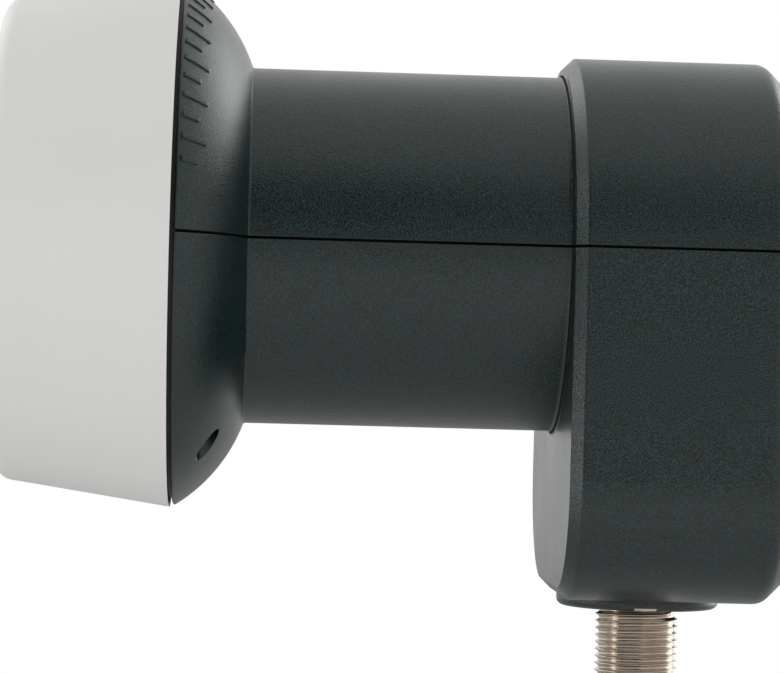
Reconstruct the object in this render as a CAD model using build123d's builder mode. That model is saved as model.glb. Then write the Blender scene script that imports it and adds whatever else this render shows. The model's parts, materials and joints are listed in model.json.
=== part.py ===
from build123d import *
import os
from math import acos, atan2, cos, hypot, radians, sin, sqrt, tan

# Satellite LNB with a 40 mm clamping neck, in millimetres.
# The origin is on the neck's axis, halfway along the neck. The horn looks along -X, the circuit
# housing lies on the +X side, and the F connector points down, along -Z.

# Shroud: neck, flare and seam
neck_radius = 20.0
neck_length = 34.9
shell_wall = 2.0
flare_length = 7.65
flare_arc_radius = 18.35
flare_rim_setback = 0.1
flare_rim_round = 0.2
flare_root_fillet = 0.3
neck_root_fillet = 0.65
seam_width = 0.28
seam_depth = 0.8

# Shroud: circuit housing, a round top over a box with round lower corners
housing_length = 25.65
housing_shoulder = 2.2
housing_half_width = 22.4
housing_drop = 38.4
housing_corner_radius = 13.3
front_chamfer = 1.25
rear_chamfer = 3.25
front_edge_round = 0.25
rear_edge_round = 2.0

# Shroud: skew scale on the flare, angles in degrees from the top
scale_reach = 75
scale_step = 5
tick_width = 0.6
tick_height = 0.14
tick_root = 0.4
tick_setback = 0.6
long_tick = 2.5
short_tick = 1.7

# Shroud: drain holes and connector collar
drain_radius = 1.2
drain_setback = 3.85
drain_offset = 13.8
connector_setback = 10.2
collar_radius = 9.14
collar_height = 1.2
collar_edge_round = 0.8
collar_recess_radius = 6.6
collar_recess_depth = 1.5
notch_width = 2.75
notch_depth = 0.36
connector_hole_gap = 0.3

# Shroud: inner ribs and snap hooks
rib_width = 1.6
neck_rib_spacing = 11.0
rear_rib_offset = 7.0
rear_rib_top = 14.0
rear_rib_bottom = 30.0
locating_gap = 0.2
hook_width = 5.0
hook_thickness = 1.0
hook_depth = 5.0
catch_depth = 3.4
catch_bite = 0.5
hook_gap = 0.25
hook_root = 2.0
neck_hook_offset = 5.5
front_hook_setback = 6.5
rear_hook_setback = 9.4

# Feed cap
cap_radius = 29.65
cap_gap = 0.39
cap_side_length = 19.0
cap_draft = 8.3
cap_dome = 3.4
cap_wall = 1.8
cap_corner_round = 1.8
cap_inner_round = 0.8
cap_lip_length = 0.6
cap_lip_wall = 0.7
cap_bead_height = 0.5
cap_bead_length = 0.9

# Horn, choke rings and waveguide
guide_radius = 8.75
tube_radius = 11.2
horn_lip_radius = 12.8
horn_length = 14.6
mouth_setback = 1.9
choke_count = 2
choke_wall = 1.4
choke_depth = 6.2
choke_clear = 1.8
choke_plate = 2.6
casting_wall = 2.0
flange_setback = 1.3
flange_width = 4.6
seat_gap = 0.15
web = 3.0

# Cap O-ring
ring_section_radius = 0.9
ring_setback = 2.2
ring_gap = 0.03

# Circuit tray and board
tray_clear = 2.0
tray_wall = 1.6
tray_front_gap = 0.3
tray_floor = 2.0
tray_depth = 13.5
ledge_width = 1.2
board_thickness = 0.8
board_gap = 0.2
tail_gap = 0.05

# Inner cover, gasket, absorber and screws
gasket_thickness = 0.6
cover_plate = 2.0
cover_wall = 1.2
skirt_gap = 0.3
short_ring_wall = 1.85
passage_width = 3.0
passage_height = 2.0
septum_drop = 14.6
absorber_width = 16.0
absorber_height = 10.0
absorber_thickness = 1.2
absorber_drop = 23.0
screw_radius = 1.25
screw_gap = 0.02
screw_hole_gap = 0.2
screw_boss_radius = 2.2
screw_top_angle = 35
screw_drop = 13.0
screw_corner_angle = -55
screw_length = 13.6
screw_depth_spare = 0.8
head_radius = 2.3
head_height = 1.6
head_round = 0.6
cross_width = 0.7
cross_length = 2.6
cross_depth = 0.9

# F connector with a 3/8-32 thread, given as its outer cylinder
thread_radius = 4.65
thread_length = 11.4
thread_start = 0.15
thread_chamfer = 0.4
neck_groove_radius = 4.4
hex_flats = 11.0
hex_gap = 0.1
shank_radius = 4.9
shank_gap = 0.05
barrel_bore = 3.2
insulator_gap = 0.05
insulator_setback = 0.5
entry_radius = 0.8
entry_length = 2.0
contact_radius = 1.1
contact_bore = 0.5
contact_length = 9.0
contact_gap = 0.05
tail_radius = 0.4
tail_reach = 5.0
seal_thickness = 0.9
seal_gap = 0.1

# Places along X, and sizes that follow from the ones above
neck_front = -neck_length / 2
housing_front = neck_length / 2
housing_rear = housing_front + housing_length
shell_front = neck_front - flare_length
flare_rim_radius = cap_radius - flare_rim_setback
housing_top_radius = neck_radius + housing_shoulder
cap_rear = shell_front - cap_gap
cap_corner = cap_rear - cap_side_length
cap_front = cap_corner - cap_dome
mouth = cap_corner + mouth_setback
flange_rear = cap_rear - flange_setback
flange_front = flange_rear - flange_width
tray_inset = shell_wall + tray_clear
tray_front = housing_front + shell_wall + tray_front_gap
tray_rear = tray_front + tray_depth
connector_x = housing_front + connector_setback
board_rear = connector_x - tail_radius - tail_gap
board_front = board_rear - board_thickness
board_inset = tray_inset + tray_wall + board_gap
cover_front = tray_rear + gasket_thickness
cover_rear = cover_front + cover_plate
tray_bottom = tray_inset - housing_drop
collar_bottom = -housing_drop - collar_height
thread_top = collar_bottom - thread_start
thread_bottom = thread_top - thread_length
shell_floor = shell_wall - housing_drop
skirt_inset = tray_inset + tray_wall + skirt_gap
post_inset = skirt_inset + screw_boss_radius
corner_y = housing_half_width - housing_corner_radius
corner_z = housing_corner_radius - housing_drop


def cap_inside(x):
    """Inner radius of the feed cap's conical side at x."""
    return cap_radius - cap_wall - tan(radians(cap_draft)) * (cap_rear - x)


def flare_arc_centre():
    """Centre of the flare's arc, in X and radius, inside the chord from neck to rim."""
    run = flare_length
    rise = flare_rim_radius - neck_radius
    chord = hypot(run, rise)
    depth = sqrt(flare_arc_radius**2 - (chord / 2) ** 2)
    x = neck_front - run / 2 - depth * rise / chord
    radius = neck_radius + rise / 2 - depth * run / chord
    return x, radius


def housing_outline(inset, x):
    """The housing's outline at x, set in from its outer face: a hull round a top and two corners."""
    with BuildSketch(Plane.YZ.offset(x)) as outline:
        Circle(housing_top_radius - inset)
        with Locations((-corner_y, corner_z), (corner_y, corner_z)):
            Circle(housing_corner_radius - inset)
        make_hull()
    return outline.sketch


def shroud_form(inset):
    """The shroud as a plain solid, set in evenly all round and run on past its open front."""
    front = shell_front - inset
    step = housing_front + inset
    radius = neck_radius - inset
    with BuildPart() as form:
        extrude(housing_outline(inset, step), amount=housing_length - 2 * inset)
        chamfer(faces().sort_by(Axis.X)[0].edges(), front_chamfer)
        chamfer(faces().sort_by(Axis.X)[-1].edges(), rear_chamfer)
        with BuildSketch(Plane.XZ):
            with Locations(flare_arc_centre()):
                Circle(flare_arc_radius - inset)
            with Locations((front, 0)):
                Rectangle(-front, cap_radius, align=(Align.MIN, Align.MIN), mode=Mode.INTERSECT)
                Rectangle(step - front, radius, align=(Align.MIN, Align.MIN))
            with Locations((step, 0)):
                Rectangle(front_chamfer, radius + neck_root_fillet, align=(Align.MIN, Align.MIN))
            fillet(vertices().sort_by_distance((neck_front, radius))[0], flare_root_fillet)
            fillet(vertices().sort_by_distance((step, radius))[0], neck_root_fillet * 0.98)
        revolve(axis=Axis.X)
    return form.part


def wall_at(radius, lean, z):
    """Half width at z of a round wall that runs on straight below the angle of its lean."""
    if z > radius * sin(lean):
        return sqrt(radius**2 - z**2)
    return (radius - sin(lean) * z) / cos(lean)


def hook_section(radius, lean, x):
    """Section of a snap hook at x that hangs from a wall, follows it down and bites under a catch."""
    face = wall_at(radius, lean, 0) - hook_gap
    catch_face = wall_at(radius, lean, -catch_depth) - hook_gap
    tip_face = wall_at(radius, lean, -hook_depth) - hook_gap
    bite = catch_face + hook_gap + catch_bite
    if lean > 0 and face > radius * cos(lean):
        top = (radius - face * cos(lean)) / sin(lean) + hook_root
    else:
        top = sqrt(radius**2 - face**2) + hook_root
    with BuildSketch(Plane.YZ.offset(x - hook_width / 2)) as section:
        with BuildLine():
            Polyline(
                (face - hook_thickness, top),
                (face, top),
                (face, 0),
                (catch_face, -catch_depth),
                (bite, -catch_depth),
                (tip_face, -hook_depth),
                (tip_face - hook_thickness, -hook_depth),
                (face - hook_thickness, 0),
                close=True,
            )
        make_face()
    return section.sketch, bite


def ring(radius, wall, start, end):
    """A plain ring round the X axis, from its inner radius, as a sketch to revolve."""
    with BuildSketch(Plane.XZ) as section:
        with Locations((start, radius)):
            Rectangle(end - start, wall, align=(Align.MIN, Align.MIN))
    return section.sketch


def chip_block(places, width, height, thickness):
    """Blocks that stand on the board's rear face, from their places in Y and Z."""
    with BuildSketch(Plane.YZ.offset(board_rear)) as footprint:
        with Locations(*places):
            Rectangle(width, height)
    return extrude(footprint.sketch, amount=thickness, mode=Mode.PRIVATE)


# Lean of the housing's side walls, as the tangent to its top and lower corner, and of the round neck
corner_reach = hypot(corner_y, corner_z)
housing_lean = atan2(corner_z, corner_y) + acos((housing_top_radius - housing_corner_radius) / corner_reach)
neck_lean = radians(-90)

# Snap hooks as wall radius, lean and place, and cover screws as places across the board
neck_inside = neck_radius - shell_wall
housing_inside = housing_top_radius - shell_wall
hooks = [(neck_inside, neck_lean, side * neck_hook_offset) for side in (-1, 1)]
hooks += [(housing_inside, housing_lean, housing_front + front_hook_setback)]
hooks += [(housing_inside, housing_lean, housing_rear - rear_hook_setback)]
top_reach = housing_top_radius - post_inset
corner_post = housing_corner_radius - post_inset
top_turn = radians(screw_top_angle)
corner_turn = radians(screw_corner_angle)
right_screws = [
    (top_reach * cos(top_turn), top_reach * sin(top_turn)),
    (wall_at(top_reach, housing_lean, -screw_drop), -screw_drop),
    (corner_y + corner_post * cos(corner_turn), corner_z + corner_post * sin(corner_turn)),
]
screw_places = [(side * y, z) for side in (-1, 1) for y, z in right_screws]

# Both shroud halves in one, before the seam parts them
outer_form = shroud_form(0)
with BuildPart() as shroud:
    add(outer_form)
    front_edge = housing_front + front_chamfer
    rear_edge = housing_rear - rear_chamfer
    tight = 0.01
    fillet(edges().filter_by_position(Axis.X, shell_front - tight, shell_front + tight), flare_rim_round)
    fillet(edges().filter_by_position(Axis.X, front_edge - tight, front_edge + tight), front_edge_round)
    fillet(edges().filter_by_position(Axis.X, rear_edge - tight, rear_edge + tight), rear_edge_round)
    add(shroud_form(shell_wall), mode=Mode.SUBTRACT)
    lip_room = cap_radius - cap_wall + cap_lip_wall + locating_gap
    lip_depth = cap_lip_length - cap_gap + locating_gap
    revolve(ring(0, lip_room, shell_front, shell_front + lip_depth), axis=Axis.X, mode=Mode.SUBTRACT)
    for place in (-neck_rib_spacing, 0, neck_rib_spacing):
        rib_bore = tube_radius + locating_gap
        rib_height = neck_radius - shell_wall / 2 - rib_bore
        revolve(ring(rib_bore, rib_height, place - rib_width / 2, place + rib_width / 2), axis=Axis.X)
    rib_start = cover_rear + locating_gap
    with Locations((rib_start, -rear_rib_offset, 0), (rib_start, rear_rib_offset, 0)):
        Box(
            housing_rear - shell_wall / 2 - rib_start,
            rib_width,
            rear_rib_top,
            align=(Align.MIN, Align.CENTER, Align.MIN),
        )
        Box(
            housing_rear - shell_wall / 2 - rib_start,
            rib_width,
            rear_rib_bottom,
            align=(Align.MIN, Align.CENTER, Align.MAX),
        )

# Shallow groove that shows as a dark line where the halves meet
with BuildPart() as seam_groove:
    add(outer_form)
    add(shroud_form(seam_depth), mode=Mode.SUBTRACT)
    Box(4 * neck_length, 4 * housing_half_width, seam_width, mode=Mode.INTERSECT)

# Upper half of the shroud: raised skew scale outside, snap hooks inside
with BuildPart() as upper_shell:
    add(shroud.part)
    split(bisect_by=Plane.XY, keep=Keep.TOP)
    add(seam_groove.part, mode=Mode.SUBTRACT)
    for angle in range(-scale_reach, scale_reach + 1, scale_step):
        tick_length = long_tick if angle % (2 * scale_step) == 0 else short_tick
        turn = radians(angle)
        meridian = Plane(origin=(0, 0, 0), x_dir=(1, 0, 0), z_dir=(0, -cos(turn), sin(turn)))
        with BuildSketch(meridian):
            with Locations(flare_arc_centre()):
                Circle(flare_arc_radius + tick_height)
                Circle(flare_arc_radius - tick_root, mode=Mode.SUBTRACT)
            with Locations((shell_front + tick_setback, flare_rim_radius)):
                Rectangle(tick_length, 2 * tick_length, align=(Align.MIN, Align.MAX), mode=Mode.INTERSECT)
        extrude(amount=tick_width / 2, both=True)
    for wall_radius, lean, place in hooks:
        section, bite = hook_section(wall_radius, lean, place)
        hook = extrude(section, amount=hook_width)
        mirror(hook, about=Plane.XZ)

# Lower half of the shroud: catches, drain holes, and collar and hexagon room for the connector
with BuildPart() as lower_shell:
    add(shroud.part)
    split(bisect_by=Plane.XY, keep=Keep.BOTTOM)
    add(seam_groove.part, mode=Mode.SUBTRACT)
    with Locations((connector_x, 0, collar_bottom)):
        Cylinder(collar_radius, collar_height + shell_wall, align=(Align.CENTER, Align.CENTER, Align.MIN))
    fillet(faces().sort_by(Axis.Z)[0].edges(), collar_edge_round)
    with Locations((connector_x, 0, collar_bottom)):
        Cylinder(
            collar_recess_radius,
            collar_recess_depth,
            align=(Align.CENTER, Align.CENTER, Align.MIN),
            mode=Mode.SUBTRACT,
        )
        Cylinder(
            thread_radius + connector_hole_gap,
            collar_height + 2 * shell_wall,
            align=(Align.CENTER, Align.CENTER, Align.MIN),
            mode=Mode.SUBTRACT,
        )
        Box(
            notch_width,
            3 * collar_radius,
            notch_depth,
            align=(Align.CENTER, Align.CENTER, Align.MIN),
            mode=Mode.SUBTRACT,
        )
    with Locations((connector_x, 0, shell_floor + hex_gap / 2)):
        Cylinder(
            hex_flats / sqrt(3) + hex_gap,
            tray_clear,
            align=(Align.CENTER, Align.CENTER, Align.MIN),
            mode=Mode.SUBTRACT,
        )
    drain_x = shell_front + drain_setback
    with Locations((drain_x, -drain_offset, -drain_offset), (drain_x, drain_offset, -drain_offset)):
        Cylinder(
            drain_radius,
            2 * flare_rim_radius,
            align=(Align.CENTER, Align.CENTER, Align.MAX),
            mode=Mode.SUBTRACT,
        )
    for wall_radius, lean, place in hooks:
        section, bite = hook_section(wall_radius, lean, place)
        with Locations((place, bite + locating_gap, locating_gap / 2 - catch_depth)):
            catch = Box(
                hook_width + 2 * locating_gap,
                hook_thickness + catch_bite,
                hook_depth - catch_depth + 2 * locating_gap,
                align=(Align.CENTER, Align.MAX, Align.MAX),
                mode=Mode.SUBTRACT,
            )
        mirror(catch, about=Plane.XZ, mode=Mode.SUBTRACT)

# Feed cap: a drafted cup with a domed front, a lip behind its rim and a snap bead inside
with BuildPart() as feed_cap:
    inner_corner = cap_corner + cap_wall
    with BuildSketch(Plane.XZ):
        with BuildLine():
            outer_dome = TangentArc(
                (cap_front, 0), (cap_corner, cap_inside(cap_corner) + cap_wall), tangent=(0, 1)
            )
            Polyline(
                outer_dome @ 1,
                (cap_rear, cap_radius),
                (cap_rear, cap_radius - cap_wall),
                (inner_corner, cap_inside(inner_corner)),
            )
            TangentArc(
                (cap_front + cap_wall, 0), (inner_corner, cap_inside(inner_corner)), tangent=(0, 1)
            )
            Line((cap_front + cap_wall, 0), (cap_front, 0))
        make_face()
        outer_corner = (cap_corner, cap_inside(cap_corner) + cap_wall)
        fillet(vertices().sort_by_distance(outer_corner)[0], cap_corner_round)
        fillet(vertices().sort_by_distance((inner_corner, cap_inside(inner_corner)))[0], cap_inner_round)
    revolve(axis=Axis.X)
    lip = ring(cap_radius - cap_wall, cap_lip_wall, cap_rear - cap_lip_length, cap_rear + cap_lip_length)
    revolve(lip, axis=Axis.X)
    bead_front = flange_rear + locating_gap / 4
    with BuildSketch(Plane.XZ):
        with BuildLine():
            Polyline(
                (bead_front, cap_inside(bead_front) + cap_bead_height),
                (bead_front, cap_inside(bead_front) - cap_bead_height),
                (bead_front + cap_bead_length, cap_inside(bead_front)),
                (bead_front + cap_bead_length, cap_inside(bead_front) + cap_bead_height),
                close=True,
            )
        make_face()
    revolve(axis=Axis.X)

# Rubber ring between the cap and the horn's flange
ring_x = flange_rear - ring_setback
ring_radius = cap_inside(ring_x) - (ring_section_radius + ring_gap) / cos(radians(cap_draft))
with BuildPart() as cap_o_ring:
    with BuildSketch(Plane.XZ):
        with Locations((ring_x, ring_radius)):
            Circle(ring_section_radius)
    revolve(axis=Axis.X)

# Die-cast horn with choke rings, waveguide tube and circuit tray
with BuildPart() as horn_casting:
    extrude(housing_outline(tray_inset, tray_front), amount=tray_depth)
    tray_inside = tray_front + tray_floor
    extrude(
        housing_outline(tray_inset + tray_wall, tray_inside),
        amount=tray_depth - tray_floor,
        mode=Mode.SUBTRACT,
    )
    extrude(housing_outline(tray_inset, tray_inside), amount=board_front - tray_inside)
    extrude(
        housing_outline(tray_inset + tray_wall + ledge_width, tray_inside),
        amount=board_front - tray_inside,
        mode=Mode.SUBTRACT,
    )
    with BuildSketch(Plane.YZ.offset(tray_front)):
        with Locations(*screw_places):
            Circle(screw_boss_radius)
    extrude(amount=board_front - tray_front)
    choke_outer = cap_inside(mouth) - choke_clear
    choke_groove = (choke_outer - horn_lip_radius - (choke_count + 1) * choke_wall) / choke_count
    plate_rear = mouth + choke_depth + choke_plate
    with BuildSketch(Plane.XZ):
        with BuildLine():
            Polyline(
                (board_front, guide_radius),
                (mouth + horn_length, guide_radius),
                (mouth, horn_lip_radius),
                (mouth, choke_outer),
                (flange_front, choke_outer),
                (flange_front, cap_inside(flange_front) - seat_gap),
                (flange_rear, cap_inside(flange_rear) - seat_gap),
                (flange_rear, choke_outer - casting_wall),
                (plate_rear, choke_outer - casting_wall),
                (plate_rear, tube_radius + web),
                (plate_rear + web, tube_radius),
                (board_front, tube_radius),
                close=True,
            )
        make_face()
        for choke in range(choke_count):
            groove_radius = horn_lip_radius + choke_wall + choke * (choke_groove + choke_wall)
            with Locations((mouth, groove_radius)):
                Rectangle(choke_depth, choke_groove, align=(Align.MIN, Align.MIN), mode=Mode.SUBTRACT)
        with Locations((ring_x, ring_radius - ring_section_radius - ring_gap)):
            Rectangle(
                2 * ring_section_radius + locating_gap,
                3 * ring_section_radius,
                align=(Align.CENTER, Align.MIN),
                mode=Mode.SUBTRACT,
            )
    revolve(axis=Axis.X)
    revolve(ring(0, guide_radius, tray_front - web, board_front), axis=Axis.X, mode=Mode.SUBTRACT)
    screw_tip = cover_rear - screw_length
    with BuildSketch(Plane.YZ.offset(screw_tip - screw_depth_spare)):
        with Locations(*screw_places):
            Circle(screw_radius + screw_gap)
    extrude(amount=board_front - screw_tip + screw_depth_spare, mode=Mode.SUBTRACT)
    with Locations((connector_x, 0, tray_bottom + tray_wall + shank_gap)):
        Cylinder(
            shank_radius + shank_gap,
            2 * tray_wall,
            align=(Align.CENTER, Align.CENTER, Align.MAX),
            mode=Mode.SUBTRACT,
        )

# Circuit board, clamped between tray and cover
with BuildPart() as circuit_board:
    extrude(housing_outline(board_inset, board_front), amount=board_thickness)
    with BuildSketch(Plane.YZ.offset(board_front)):
        with Locations(*screw_places):
            Circle(screw_radius + screw_hole_gap)
    extrude(amount=board_thickness, mode=Mode.SUBTRACT)

# Inner cover with skirt, back-short ring, screening wall and screw posts
with BuildPart() as rf_cover:
    extrude(housing_outline(skirt_inset, board_rear), amount=cover_front - board_rear)
    extrude(
        housing_outline(skirt_inset + cover_wall, board_rear),
        amount=cover_front - board_rear,
        mode=Mode.SUBTRACT,
    )
    extrude(housing_outline(tray_inset, cover_front), amount=cover_plate)
    revolve(ring(guide_radius, short_ring_wall, board_rear, cover_front), axis=Axis.X)
    with BuildSketch(Plane.YZ.offset(board_rear)):
        with Locations(*screw_places):
            Circle(screw_boss_radius)
        with Locations((0, -septum_drop)):
            Rectangle(2 * (housing_top_radius - skirt_inset) - cover_wall, cover_wall)
    extrude(amount=cover_front - board_rear)
    with BuildSketch(Plane.YZ.offset(board_rear)):
        with Locations(*screw_places):
            Circle(screw_radius + screw_hole_gap)
    extrude(amount=cover_rear - board_rear, mode=Mode.SUBTRACT)
    with BuildSketch(Plane.YZ.offset(board_rear)):
        Rectangle(passage_width, housing_drop, align=(Align.CENTER, Align.MAX))
        Rectangle(guide_radius + 2 * short_ring_wall, passage_width, align=(Align.MIN, Align.CENTER))
    extrude(amount=passage_height, mode=Mode.SUBTRACT)

# Seal between the tray's rim and the cover
with BuildPart() as cover_gasket:
    extrude(housing_outline(tray_inset, tray_rear), amount=gasket_thickness)
    extrude(
        housing_outline(tray_inset + tray_wall, tray_rear),
        amount=gasket_thickness,
        mode=Mode.SUBTRACT,
    )

# Pan-head screws with a cross recess
with BuildPart() as cover_screws:
    with BuildSketch(Plane.YZ.offset(cover_rear)):
        with Locations(*screw_places):
            Circle(head_radius)
    extrude(amount=head_height)
    fillet(faces().group_by(Axis.X)[-1].edges(), head_round)
    with BuildSketch(Plane.YZ.offset(screw_tip)):
        with Locations(*screw_places):
            Circle(screw_radius)
    extrude(amount=screw_length)
    with BuildSketch(Plane.YZ.offset(cover_rear + head_height - cross_depth)):
        with Locations(*screw_places):
            Rectangle(cross_length, cross_width)
            Rectangle(cross_width, cross_length)
    extrude(amount=cross_depth, mode=Mode.SUBTRACT)

# Microwave absorber stuck to the inside of the cover
with BuildPart() as absorber_pad:
    with BuildSketch(Plane.YZ.offset(cover_front - absorber_thickness)):
        with Locations((0, -absorber_drop)):
            Rectangle(absorber_width, absorber_height)
    extrude(amount=absorber_thickness)

# F connector barrel: threaded end, hexagon under the tray and a shank through its wall
hex_bottom = shell_floor + hex_gap
with BuildPart() as connector_body:
    with BuildSketch(Plane.XY.offset(thread_bottom)):
        with Locations((connector_x, 0)):
            Circle(thread_radius)
    extrude(amount=thread_length)
    chamfer(faces().sort_by(Axis.Z)[0].edges(), thread_chamfer)
    with BuildSketch(Plane.XY.offset(thread_top)):
        with Locations((connector_x, 0)):
            Circle(neck_groove_radius)
    extrude(amount=hex_bottom - thread_top)
    with BuildSketch(Plane.XY.offset(hex_bottom)):
        with Locations((connector_x, 0)):
            RegularPolygon(hex_flats / 2, 6, major_radius=False, rotation=30)
    extrude(amount=tray_bottom - hex_bottom)
    with BuildSketch(Plane.XY.offset(tray_bottom)):
        with Locations((connector_x, 0)):
            Circle(shank_radius)
    extrude(amount=tray_wall)
    with BuildSketch(Plane.XY.offset(thread_bottom)):
        with Locations((connector_x, 0)):
            Circle(barrel_bore)
    extrude(amount=tray_bottom + tray_wall - thread_bottom, mode=Mode.SUBTRACT)

# Insulator in the barrel, with a small hole for the cable's inner conductor
insulator_bottom = thread_bottom + insulator_setback
contact_bottom = insulator_bottom + entry_length
contact_top = contact_bottom + contact_length
insulator_top = tray_bottom + tray_wall
with BuildPart() as connector_insulator:
    with Locations((connector_x, 0, insulator_bottom)):
        Cylinder(
            barrel_bore - insulator_gap,
            insulator_top - insulator_bottom,
            align=(Align.CENTER, Align.CENTER, Align.MIN),
        )
        Cylinder(
            entry_radius,
            entry_length,
            align=(Align.CENTER, Align.CENTER, Align.MIN),
            mode=Mode.SUBTRACT,
        )
    with Locations((connector_x, 0, contact_bottom)):
        Cylinder(
            contact_radius + contact_gap,
            contact_length,
            align=(Align.CENTER, Align.CENTER, Align.MIN),
            mode=Mode.SUBTRACT,
        )
        Cylinder(
            tail_radius + contact_gap,
            insulator_top - contact_bottom,
            align=(Align.CENTER, Align.CENTER, Align.MIN),
            mode=Mode.SUBTRACT,
        )

# Spring contact: a slotted socket with a tail that lies on the board
with BuildPart() as connector_contact:
    with Locations((connector_x, 0, contact_bottom)):
        Cylinder(contact_radius, contact_length, align=(Align.CENTER, Align.CENTER, Align.MIN))
        Cylinder(
            contact_bore,
            contact_length * 0.8,
            align=(Align.CENTER, Align.CENTER, Align.MIN),
            mode=Mode.SUBTRACT,
        )
        Box(
            tail_radius,
            3 * contact_radius,
            contact_length / 2,
            align=(Align.CENTER, Align.CENTER, Align.MIN),
            mode=Mode.SUBTRACT,
        )
    with Locations((connector_x, 0, contact_top)):
        Cylinder(
            tail_radius,
            insulator_top + tail_reach - contact_top,
            align=(Align.CENTER, Align.CENTER, Align.MIN),
        )

# Rubber washer round the connector, in the collar's recess
with BuildPart() as connector_seal:
    with Locations((connector_x, 0, collar_bottom + collar_recess_depth)):
        Cylinder(
            collar_recess_radius - seal_gap,
            seal_thickness,
            align=(Align.CENTER, Align.CENTER, Align.MAX),
        )
        Cylinder(
            neck_groove_radius + seal_gap,
            seal_thickness,
            align=(Align.CENTER, Align.CENTER, Align.MAX),
            mode=Mode.SUBTRACT,
        )

# Parts on the board
with BuildPart() as downconverter_chip:
    add(chip_block([(0, -18.5)], 4.0, 4.0, 0.85))
    chamfer(edges().filter_by(Axis.X).sort_by(Axis.Y)[0], 0.3)

with BuildPart() as bias_controller:
    bias_y, bias_z = (-8.5, -19.5)
    add(chip_block([(bias_y, bias_z)], 3.9, 4.9, 1.5))
    add(chip_block([(bias_y, bias_z + 0.635 * (lead - 3.5)) for lead in range(8)], 6.0, 0.3, 0.25))

with BuildPart() as reference_crystal:
    add(chip_block([(6.2, -18.5)], 3.2, 2.5, 0.5))
    add(chip_block([(6.2, -18.5)], 2.8, 2.1, 0.8))

with BuildPart() as voltage_regulator:
    regulator_y, regulator_z = (7.0, -26.0)
    add(chip_block([(regulator_y, regulator_z)], 4.5, 2.5, 1.5))
    add(chip_block([(regulator_y, regulator_z)], 1.7, 4.2, 0.4))
    add(chip_block([(regulator_y + side * 1.5, regulator_z - 0.8) for side in (-1, 1)], 0.45, 2.6, 0.4))

with BuildPart() as lna_transistors:
    lna_places = [(0, -12.4), (13.0, 0), (6.5, -12.2)]
    add(chip_block(lna_places, 2.0, 1.25, 0.9))
    add(chip_block([(y + side * 0.65, z) for y, z in lna_places for side in (-1, 1)], 0.3, 2.0, 0.15))

with BuildPart() as surge_diode:
    add(chip_block([(-5.8, -28.0)], 4.3, 2.6, 2.2))
    add(chip_block([(-5.8, -28.0)], 5.2, 1.5, 0.3))

with BuildPart() as choke_inductors:
    choke_places = [(-2.6, -24.4), (3.0, -22.8)]
    add(chip_block(choke_places, 2.5, 1.5, 1.3))
    add(chip_block([(y + side, z) for y, z in choke_places for side in (-1, 1)], 0.5, 2.0, 1.6))

capacitor_places = [(11.0 + 2.4 * column, -22.4 + 1.8 * row) for column in range(2) for row in range(3)]
capacitor_places += [(-3.5, -17.2), (-3.5, -19.8), (3.2, -26.4)]
with BuildPart() as ceramic_capacitors:
    add(chip_block(capacitor_places, 1.6, 0.74, 0.76))
    add(chip_block([(y + side * 0.65, z) for y, z in capacitor_places for side in (-1, 1)], 0.3, 0.8, 0.8))

resistor_places = [(-13.4 + 2.2 * column, -25.4 + 1.5 * row) for column in range(2) for row in range(2)]
resistor_places += [(-4.0, 12.8), (9.0, -16.2), (-12.6, -17.0)]
with BuildPart() as chip_resistors:
    add(chip_block(resistor_places, 1.6, 0.74, 0.42))
    add(chip_block([(y + side * 0.65, z) for y, z in resistor_places for side in (-1, 1)], 0.3, 0.8, 0.45))

pieces = {
    "feed_cap": feed_cap,
    "upper_shell": upper_shell,
    "lower_shell": lower_shell,
    "cap_o_ring": cap_o_ring,
    "horn_casting": horn_casting,
    "circuit_board": circuit_board,
    "rf_cover": rf_cover,
    "cover_gasket": cover_gasket,
    "cover_screws": cover_screws,
    "absorber_pad": absorber_pad,
    "connector_body": connector_body,
    "connector_insulator": connector_insulator,
    "connector_contact": connector_contact,
    "connector_seal": connector_seal,
    "downconverter_chip": downconverter_chip,
    "bias_controller": bias_controller,
    "reference_crystal": reference_crystal,
    "voltage_regulator": voltage_regulator,
    "lna_transistors": lna_transistors,
    "surge_diode": surge_diode,
    "choke_inductors": choke_inductors,
    "ceramic_capacitors": ceramic_capacitors,
    "chip_resistors": chip_resistors,
}
os.makedirs("parts", exist_ok=True)
for name, piece in pieces.items():
    piece.part.label = name
    export_step(piece.part, f"parts/{name}.step")
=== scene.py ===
import json
import math

import bpy
from mathutils import Matrix, Vector


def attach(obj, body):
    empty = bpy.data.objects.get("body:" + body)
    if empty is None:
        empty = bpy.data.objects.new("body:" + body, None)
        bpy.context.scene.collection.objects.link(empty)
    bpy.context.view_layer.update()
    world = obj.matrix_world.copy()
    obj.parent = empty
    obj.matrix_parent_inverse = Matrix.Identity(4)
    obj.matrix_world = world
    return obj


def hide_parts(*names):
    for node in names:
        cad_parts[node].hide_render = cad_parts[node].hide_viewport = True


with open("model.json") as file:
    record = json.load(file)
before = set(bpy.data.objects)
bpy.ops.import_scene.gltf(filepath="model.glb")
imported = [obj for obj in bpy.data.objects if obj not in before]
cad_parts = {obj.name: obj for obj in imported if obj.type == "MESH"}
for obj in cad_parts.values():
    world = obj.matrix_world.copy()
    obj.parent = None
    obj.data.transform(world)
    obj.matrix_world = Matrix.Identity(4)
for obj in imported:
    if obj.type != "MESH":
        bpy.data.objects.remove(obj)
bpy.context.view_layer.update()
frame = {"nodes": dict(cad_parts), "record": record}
scene = bpy.context.scene
scene.view_settings.view_transform = "Standard"

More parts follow.
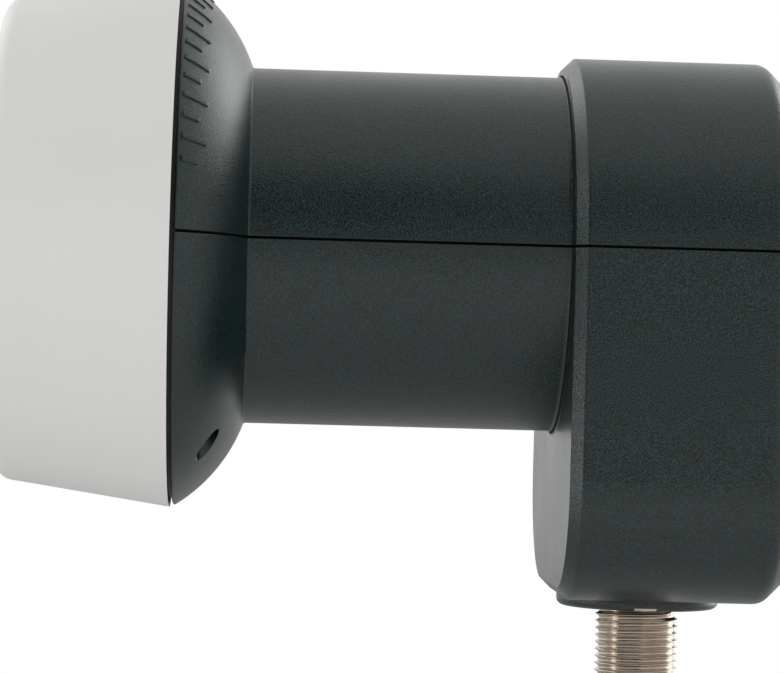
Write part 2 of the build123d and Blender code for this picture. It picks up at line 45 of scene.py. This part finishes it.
# Sizes repeated from the CAD model, in metres
MM = 0.001
CONNECTOR_X = 27.65 * MM
THREAD_RADIUS = 4.65 * MM
THREAD_TOP = -39.75 * MM
THREAD_BOTTOM = -51.15 * MM
THREAD_CHAMFER = 0.4 * MM
GROOVE_RADIUS = 4.4 * MM
HEX_BOTTOM = -36.3 * MM
HEX_TOP = -34.4 * MM
HEX_FLAT = 5.5 * MM
SHANK_RADIUS = 4.9 * MM
SHANK_TOP = -32.8 * MM
BARREL_BORE = 3.2 * MM
NECK_RADIUS = 20.0 * MM
NECK_ROOT_X = 17.45 * MM
CAP_RIM_X = -25.5 * MM

# Reach of the painted shade on the shroud: the seam's groove and the corner at the neck's root
SEAM_SHADE_HALF_WIDTH = 0.16 * MM
NECK_ROOT_SHADE_REACH = 0.32 * MM

# Form of the 3/8-32 thread
THREAD_PITCH = 0.79375 * MM
THREAD_DEPTH = 0.42 * MM
THREAD_LEAD_IN = 0.28 * MM
THREAD_START_ANGLE = math.radians(-22)
THREAD_TURNS = 13
THREAD_FADE_TURNS = 0.12
BARREL_SIDES = 144
BARREL_SHARP_ANGLE = math.radians(50)
# Share of the pitch and share of the depth, from one root to the next
THREAD_PROFILE = [
    (0.0, 0.0),
    (0.07, 0.03),
    (0.14, 0.11),
    (0.22, 0.27),
    (0.40, 0.83),
    (0.45, 0.96),
    (0.50, 1.0),
    (0.55, 0.96),
    (0.60, 0.83),
    (0.78, 0.27),
    (0.86, 0.11),
    (0.93, 0.03),
]

# Camera at the photograph's angle: its place, and the directions of its right side and its view
SENSOR_WIDTH_MM = 36.0
LENS_MM = 135.63
CLIP_START = 0.01
CAMERA_PLACE = (-0.015886, -0.332246, -0.015647)
CAMERA_RIGHT = (0.99863, -0.04471, 0.02709)
CAMERA_FORWARD = (0.04424, 0.99887, 0.01757)

# Floor as the camera sees it: its shade, and the distances from the origin between which it turns white
FLOOR_Z = -0.16
FLOOR_REACH = 2.0
FLOOR_SHADE = (0.9, 0.9, 0.9)
FLOOR_WHITENS = (0.18, 0.5)

# Floor as other rays see it: a painted shadow, darker towards the back, and pale again to both sides
FLOOR_DEPTHS = (-0.25, 0.15)
FLOOR_DEPTH_SHADES = (0.85, 0.42)
FLOOR_SIDES = (0.1, 0.4)
FLOOR_SIDE_SHADES = (0.0, 0.9)

# Light levels of the room in front, by the sine of the height over the horizon
LEFT_ROOM = [(-1.0, 0.7), (-0.05, 0.6), (0.1, 0.0), (0.6, 0.0), (0.82, 0.95), (1.0, 1.0)]
RIGHT_ROOM = [(-1.0, 0.8), (0.03, 1.0), (0.2, 0.75), (0.55, 0.7), (0.8, 1.0), (1.0, 1.0)]
WHITE = (1.0, 1.0, 1.0)

# Directions in X where the room's left side gives way to its right one, and in Y where the room ends
ROOM_DIVIDES = (0.11, 0.15)
ROOM_ENDS = (-0.2, 0.1)

# Range that a noise texture's values mostly lie in
NOISE_LOW = 0.3
NOISE_HIGH = 0.7

# Part of the noise's range that lightens the shroud
SHROUD_GRAIN_LOW = 0.42
SHROUD_GRAIN_HIGH = 0.70

# Grain of the plain materials
SPECKLE_ROUGHNESS = 0.05
SPECKLE_STRENGTH = 0.3
SPECKLE_DEPTH = 0.03 * MM


class Graph:
    """Short ways to add nodes to the node tree of a material or a world."""

    def __init__(self, owner):
        owner.use_nodes = True
        self.tree = owner.node_tree

    def add(self, kind):
        return self.tree.nodes.new(kind)

    def feed(self, socket, value):
        """Link a socket to an output, or set it to a number or a colour."""
        if isinstance(value, bpy.types.NodeSocket):
            self.tree.links.new(value, socket)
        elif isinstance(value, tuple):
            socket.default_value = (*value, 1.0)
        else:
            socket.default_value = value

    def math(self, operation, first, second=0.0):
        node = self.add("ShaderNodeMath")
        node.operation = operation
        self.feed(node.inputs[0], first)
        self.feed(node.inputs[1], second)
        return node.outputs["Value"]

    def spread(self, value, start, end, low=0.0, high=1.0, smooth=False):
        """Map a value from one range to another, evenly or with soft ends."""
        node = self.add("ShaderNodeMapRange")
        node.interpolation_type = "SMOOTHSTEP" if smooth else "LINEAR"
        self.feed(node.inputs["Value"], value)
        self.feed(node.inputs["From Min"], start)
        self.feed(node.inputs["From Max"], end)
        self.feed(node.inputs["To Min"], low)
        self.feed(node.inputs["To Max"], high)
        return node.outputs["Result"]

    def mix(self, share, first, second):
        """Mix two colours; a share of 1 is the second."""
        node = self.add("ShaderNodeMix")
        node.data_type = "RGBA"
        self.feed(node.inputs["Factor"], share)
        self.feed(node.inputs["A"], first)
        self.feed(node.inputs["B"], second)
        return node.outputs["Result"]

    def split(self, vector):
        node = self.add("ShaderNodeSeparateXYZ")
        self.feed(node.inputs["Vector"], vector)
        return node.outputs["X"], node.outputs["Y"], node.outputs["Z"]

    def seen_by_camera(self):
        return self.add("ShaderNodeLightPath").outputs["Is Camera Ray"]


class Surface(Graph):
    """A new material with short ways to vary its shader by the place on the object, in metres."""

    def __init__(self, name, colour, roughness, metallic=0.0):
        self.material = bpy.data.materials.new(name)
        super().__init__(self.material)
        self.shader = self.tree.nodes["Principled BSDF"]
        self.colour = self.shader.inputs["Base Color"]
        self.roughness = self.shader.inputs["Roughness"]
        self.feed(self.colour, colour)
        self.feed(self.roughness, roughness)
        self.feed(self.shader.inputs["Metallic"], metallic)
        self.place = self.add("ShaderNodeTexCoord").outputs["Object"]
        self.normal = None

    def noise(self, scale, detail):
        """Noise with a scale in features per metre."""
        node = self.add("ShaderNodeTexNoise")
        self.feed(node.inputs["Scale"], scale)
        self.feed(node.inputs["Detail"], detail)
        self.feed(node.inputs["Vector"], self.place)
        return node.outputs["Fac"]

    def vary_colour(self, texture, dark, light, start=NOISE_LOW, end=NOISE_HIGH):
        self.feed(self.colour, self.mix(self.spread(texture, start, end), dark, light))

    def vary_roughness(self, texture, low, high):
        self.feed(self.roughness, self.spread(texture, NOISE_LOW, NOISE_HIGH, low, high))

    def paint_shade(self, share, colour):
        """Mix a plain colour over the varied colour; used here for painted shade."""
        self.feed(self.colour, self.mix(share, self.colour.links[0].from_socket, colour))

    def dull(self, share):
        """Raise the varied roughness to at least a share."""
        self.feed(self.roughness, self.math("MAXIMUM", self.roughness.links[0].from_socket, share))

    def soften(self, reach):
        """Round the look of sharp edges, under the bump that follows."""
        node = self.add("ShaderNodeBevel")
        node.samples = 4
        self.feed(node.inputs["Radius"], reach)
        self.normal = node.outputs["Normal"]

    def bump(self, texture, strength, depth):
        node = self.add("ShaderNodeBump")
        self.feed(node.inputs["Strength"], strength)
        self.feed(node.inputs["Distance"], depth)
        self.feed(node.inputs["Height"], texture)
        if self.normal is not None:
            self.feed(node.inputs["Normal"], self.normal)
        self.feed(self.shader.inputs["Normal"], node.outputs["Normal"])


def shroud_plastic():
    """Satin anthracite plastic with a fine grain, with painted shade that makes the seam's groove and
    the neck's root black.
    """
    s = Surface("shroud_plastic", (0.0016, 0.0102, 0.0099), 0.31)
    s.feed(s.shader.inputs["IOR"], 1.5)
    dark = (0.0, 0.0004, 0.0004)
    light = (0.0060, 0.0310, 0.0300)
    s.vary_colour(s.noise(6500, 1), dark, light, SHROUD_GRAIN_LOW, SHROUD_GRAIN_HIGH)
    s.vary_roughness(s.noise(60, 3), 0.28, 0.34)
    s.soften(0.2 * MM)
    s.bump(s.noise(6000, 1), 0.7, 0.06 * MM)

    x, y, z = s.split(s.place)
    radius = s.math("SQRT", s.math("ADD", s.math("MULTIPLY", y, y), s.math("MULTIPLY", z, z)))
    # Painted shade: the corner at the neck's root is darkened and dulled to look shadowed
    from_root = s.math("ABSOLUTE", s.math("SUBTRACT", x, NECK_ROOT_X))
    near_root = s.math("LESS_THAN", from_root, NECK_ROOT_SHADE_REACH)
    near_neck = s.math("LESS_THAN", radius, NECK_RADIUS + NECK_ROOT_SHADE_REACH)
    root = s.math("MULTIPLY", near_root, near_neck)
    s.paint_shade(root, (0.0005, 0.0005, 0.0005))
    s.dull(root)
    # Painted shade: the seam's groove is darkened and dulled to look shadowed
    seam = s.math("LESS_THAN", s.math("ABSOLUTE", z), SEAM_SHADE_HALF_WIDTH)
    s.paint_shade(seam, (0.001, 0.001, 0.001))
    s.dull(seam)
    return s.material


def cap_plastic():
    """Satin light grey plastic, with painted shade that darkens the lip behind the rim."""
    s = Surface("cap_plastic", (0.63, 0.63, 0.615), 0.5)
    s.vary_colour(s.noise(40, 3), (0.620, 0.620, 0.606), (0.640, 0.640, 0.624))
    s.vary_roughness(s.noise(90, 3), 0.46, 0.54)
    s.bump(s.noise(3200, 2), 0.2, 0.02 * MM)
    x, _, _ = s.split(s.place)
    # Painted shade: the lip behind the rim is darkened as if shadowed inside the gap
    s.paint_shade(s.math("GREATER_THAN", x, CAP_RIM_X), (0.022, 0.018, 0.012))
    return s.material


def nickel_plate():
    s = Surface("nickel_plate", (0.50, 0.44, 0.37), 0.22, metallic=1.0)
    s.vary_colour(s.noise(300, 4), (0.45, 0.39, 0.32), (0.55, 0.49, 0.42))
    s.vary_roughness(s.noise(900, 3), 0.18, 0.26)
    return s.material


def cast_metal():
    s = Surface("cast_metal", (0.60, 0.60, 0.59), 0.42, metallic=1.0)
    s.vary_colour(s.noise(220, 4), (0.52, 0.52, 0.51), (0.66, 0.66, 0.65))
    s.vary_roughness(s.noise(500, 3), 0.34, 0.52)
    s.bump(s.noise(1500, 3), 0.4, 0.05 * MM)
    return s.material


def speckled(name, dark, light, roughness, scale, metallic):
    """A plain material with fine mottling and grain."""
    s = Surface(name, light, roughness, metallic)
    s.vary_colour(s.noise(scale, 3), dark, light)
    s.vary_roughness(s.noise(scale / 2, 2), roughness - SPECKLE_ROUGHNESS, roughness + SPECKLE_ROUGHNESS)
    s.bump(s.noise(2 * scale, 2), SPECKLE_STRENGTH, SPECKLE_DEPTH)
    return s.material


# Plain materials: dark and light colour, roughness, features per metre, metallic
SPECKLED = {
    "black_rubber": ((0.012, 0.012, 0.012), (0.018, 0.018, 0.018), 0.65, 1200, 0.0),
    "board_laminate": ((0.08, 0.23, 0.10), (0.12, 0.29, 0.14), 0.5, 1500, 0.0),
    "grey_gasket": ((0.17, 0.17, 0.17), (0.23, 0.23, 0.23), 0.7, 1200, 0.0),
    "screw_steel": ((0.52, 0.52, 0.50), (0.62, 0.62, 0.60), 0.3, 900, 1.0),
    "absorber_rubber": ((0.022, 0.022, 0.026), (0.036, 0.036, 0.040), 0.75, 1400, 0.0),
    "white_insulator": ((0.76, 0.76, 0.74), (0.82, 0.82, 0.80), 0.4, 600, 0.0),
    "contact_brass": ((0.74, 0.56, 0.26), (0.84, 0.66, 0.34), 0.25, 900, 1.0),
    "chip_black": ((0.016, 0.016, 0.016), (0.024, 0.024, 0.024), 0.55, 2500, 0.0),
    "crystal_can": ((0.56, 0.54, 0.50), (0.66, 0.64, 0.58), 0.3, 2000, 1.0),
    "inductor_ferrite": ((0.06, 0.055, 0.05), (0.10, 0.09, 0.08), 0.6, 2500, 0.0),
    "capacitor_ceramic": ((0.36, 0.25, 0.15), (0.46, 0.33, 0.20), 0.5, 3000, 0.0),
    "resistor_ceramic": ((0.024, 0.024, 0.024), (0.034, 0.034, 0.036), 0.5, 3000, 0.0),
}
finishes = {
    "shroud_plastic": shroud_plastic(),
    "cap_plastic": cap_plastic(),
    "nickel_plate": nickel_plate(),
    "cast_metal": cast_metal(),
}
for slot, values in SPECKLED.items():
    finishes[slot] = speckled(slot, *values)
for subpart in frame["record"]["subparts"]:
    mesh = frame["nodes"][subpart["node"]].data
    mesh.materials.clear()
    mesh.materials.append(finishes[subpart["material_slot"]])


def put(name, data):
    """A new object in the scene."""
    made = bpy.data.objects.new(name, data)
    scene.collection.objects.link(made)
    return made


def threaded_barrel():
    """The connector's barrel with its thread, as one closed mesh whose rows follow the helix."""
    points = []
    faces = []
    root = THREAD_RADIUS - THREAD_DEPTH

    def point(angle, radius, z):
        points.append((CONNECTOR_X + radius * math.cos(angle), radius * math.sin(angle), z))
        return len(points) - 1

    def angle_of(step):
        return THREAD_START_ANGLE + 2 * math.pi * step / BARREL_SIDES

    def ring(z, radius, hexagon=False):
        row = []
        for step in range(BARREL_SIDES):
            angle = angle_of(step)
            off_flat = (angle + math.pi / 6) % (math.pi / 3) - math.pi / 6
            row.append(point(angle, radius / math.cos(off_flat) if hexagon else radius, z))
        return row

    def join(below, above):
        for step in range(BARREL_SIDES):
            after = (step + 1) % BARREL_SIDES
            faces.append((below[step], below[after], above[after], above[step]))

    # Helical rows; the vertex after the last in a row is the first one of the row a turn higher
    start = THREAD_BOTTOM + THREAD_LEAD_IN
    per_turn = len(THREAD_PROFILE)
    count = THREAD_TURNS * per_turn
    grid = {}
    for row in range(count + 1):
        share, height = THREAD_PROFILE[row % per_turn]
        columns = BARREL_SIDES + 1 if row > count - per_turn else BARREL_SIDES
        for step in range(columns):
            turns = row // per_turn + step / BARREL_SIDES
            fade = min(1.0, turns / THREAD_FADE_TURNS, (THREAD_TURNS - turns) / THREAD_FADE_TURNS)
            z = start + (share + turns) * THREAD_PITCH
            chamfer_radius = THREAD_RADIUS - THREAD_CHAMFER + z - THREAD_BOTTOM
            radius = min(root + THREAD_DEPTH * height * max(0.0, fade), chamfer_radius)
            grid[row, step] = point(angle_of(step), radius, z)
    for row in range(count + 1 - per_turn):
        grid[row, BARREL_SIDES] = grid[row + per_turn, 0]
    for row in range(count):
        for step in range(BARREL_SIDES):
            below = (grid[row, step], grid[row, step + 1])
            above = (grid[row + 1, step + 1], grid[row + 1, step])
            faces.append(below + above)

    # Plain bands that close the first and the last turn
    mouth = ring(THREAD_BOTTOM, root)
    relief = ring(THREAD_TOP, root)
    for step in range(BARREL_SIDES):
        after = (step + 1) % BARREL_SIDES
        low = [mouth[step], mouth[after], grid[0, step + 1], grid[0, step]]
        high = [grid[count, step], grid[count, step + 1], relief[after], relief[step]]
        if step == BARREL_SIDES - 1:
            low[2:3] = [grid[row, 0] for row in range(per_turn + 1)]
        if step == 0:
            high += [grid[row, BARREL_SIDES] for row in range(count, count - per_turn, -1)]
        faces.append(tuple(low))
        faces.append(tuple(high))

    # Groove, hexagon, shank and bore, back down to the mouth
    rings = [
        relief,
        ring(THREAD_TOP, GROOVE_RADIUS),
        ring(HEX_BOTTOM, GROOVE_RADIUS),
        ring(HEX_BOTTOM, HEX_FLAT, hexagon=True),
        ring(HEX_TOP, HEX_FLAT, hexagon=True),
        ring(HEX_TOP, SHANK_RADIUS),
        ring(SHANK_TOP, SHANK_RADIUS),
        ring(SHANK_TOP, BARREL_BORE),
        ring(THREAD_BOTTOM, BARREL_BORE),
        mouth,
    ]
    for below, above in zip(rings, rings[1:]):
        join(below, above)

    mesh = bpy.data.meshes.new("threaded_barrel")
    mesh.from_pydata(points, [], faces)
    mesh.update()
    mesh.shade_smooth()
    mesh.set_sharp_from_angle(angle=BARREL_SHARP_ANGLE)
    mesh.materials.append(finishes["nickel_plate"])
    return put("threaded_barrel", mesh)


barrel = threaded_barrel()
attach(barrel, "root")
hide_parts("connector_body")


def photo_camera():
    data = bpy.data.cameras.new("camera")
    data.sensor_width = SENSOR_WIDTH_MM
    data.lens = LENS_MM
    data.clip_start = CLIP_START
    right = Vector(CAMERA_RIGHT).normalized()
    forward = Vector(CAMERA_FORWARD).normalized()
    up = right.cross(forward).normalized()
    turn = Matrix((right, up, -forward)).transposed()
    camera = put("camera", data)
    camera.matrix_world = Matrix.Translation(CAMERA_PLACE) @ turn.to_4x4()
    return camera


scene.camera = photo_camera()


def floor_material():
    """A pale floor that turns plain white for the camera further out, with a painted shadow behind the
    object for other rays.
    """
    material = bpy.data.materials.new("floor")
    g = Graph(material)
    shader = g.tree.nodes["Principled BSDF"]
    g.feed(shader.inputs["Roughness"], 0.9)
    seen = g.seen_by_camera()
    place = g.add("ShaderNodeTexCoord").outputs["Object"]
    x, y, _ = g.split(place)
    # Painted shadow: darker behind the object and pale again to both sides, for all but camera rays
    shadow_by_depth = g.spread(y, *FLOOR_DEPTHS, *FLOOR_DEPTH_SHADES, smooth=True)
    shadow_fade_by_side = g.spread(g.math("ABSOLUTE", x), *FLOOR_SIDES, *FLOOR_SIDE_SHADES, smooth=True)
    g.feed(shader.inputs["Base Color"], g.mix(seen, g.math("MAXIMUM", shadow_by_depth, shadow_fade_by_side), FLOOR_SHADE))

    distance = g.add("ShaderNodeVectorMath")
    distance.operation = "LENGTH"
    g.feed(distance.inputs[0], place)
    outside = g.spread(distance.outputs["Value"], *FLOOR_WHITENS, smooth=True)
    glow = g.add("ShaderNodeEmission")
    g.feed(glow.inputs["Strength"], 1.0)
    cover = g.add("ShaderNodeMixShader")
    g.feed(cover.inputs["Fac"], g.math("MULTIPLY", seen, outside))
    g.feed(cover.inputs[1], shader.outputs["BSDF"])
    g.feed(cover.inputs[2], glow.outputs["Emission"])
    g.feed(g.tree.nodes["Material Output"].inputs["Surface"], cover.outputs["Shader"])
    return material


floor_mesh = bpy.data.meshes.new("floor")
corners = [(x * FLOOR_REACH, y * FLOOR_REACH, FLOOR_Z) for x, y in ((-1, -1), (1, -1), (1, 1), (-1, 1))]
floor_mesh.from_pydata(corners, [], [(0, 1, 2, 3)])
floor_mesh.materials.append(floor_material())
floor = put("floor", floor_mesh)


def studio_world():
    """White behind, above and for the camera, with a darker room in front of the object."""
    world = bpy.data.worlds.new("world")
    g = Graph(world)
    x, y, z = g.split(g.add("ShaderNodeTexCoord").outputs["Generated"])
    height = g.spread(z, -1.0, 1.0)

    def room_side(levels):
        ramp = g.add("ShaderNodeValToRGB")
        ramp.color_ramp.interpolation = "EASE"
        while len(ramp.color_ramp.elements) < len(levels):
            ramp.color_ramp.elements.new(0.5)
        for element, (sine, level) in zip(ramp.color_ramp.elements, levels):
            element.position = (sine + 1) / 2
            element.color = (level, level, level, 1)
        g.feed(ramp.inputs["Fac"], height)
        return ramp.outputs["Color"]

    rightward = g.spread(x, *ROOM_DIVIDES, smooth=True)
    backward = g.spread(y, *ROOM_ENDS, smooth=True)
    room = g.mix(rightward, room_side(LEFT_ROOM), room_side(RIGHT_ROOM))
    around = g.mix(backward, room, WHITE)
    background = g.tree.nodes["Background"]
    g.feed(background.inputs["Strength"], 1.0)
    g.feed(background.inputs["Color"], g.mix(g.seen_by_camera(), around, WHITE))
    return world


scene.world = studio_world()


def softbox(name, place, width, height, power):
    """A lamp that looks at the origin."""
    data = bpy.data.lights.new(name, "AREA")
    data.shape = "RECTANGLE"
    data.size = width
    data.size_y = height
    data.energy = power
    lamp = put(name, data)
    lamp.location = place
    lamp.rotation_euler = (-Vector(place)).to_track_quat("-Z", "Y").to_euler()
    return lamp


# The front light only fills, and the back light only shows in reflections
softbox("front_light", (-0.25, -0.9, -0.06), 0.8, 0.8, 4.0).visible_glossy = False
softbox("right_light", (0.58, 0.43, 0.17), 0.45, 0.65, 2.9)
softbox("left_light", (-0.73, -0.155, 0.1), 0.2, 0.7, 1.7)
softbox("back_light", (-0.42, 0.47, 0.43), 0.45, 0.45, 0.9).visible_diffuse = False
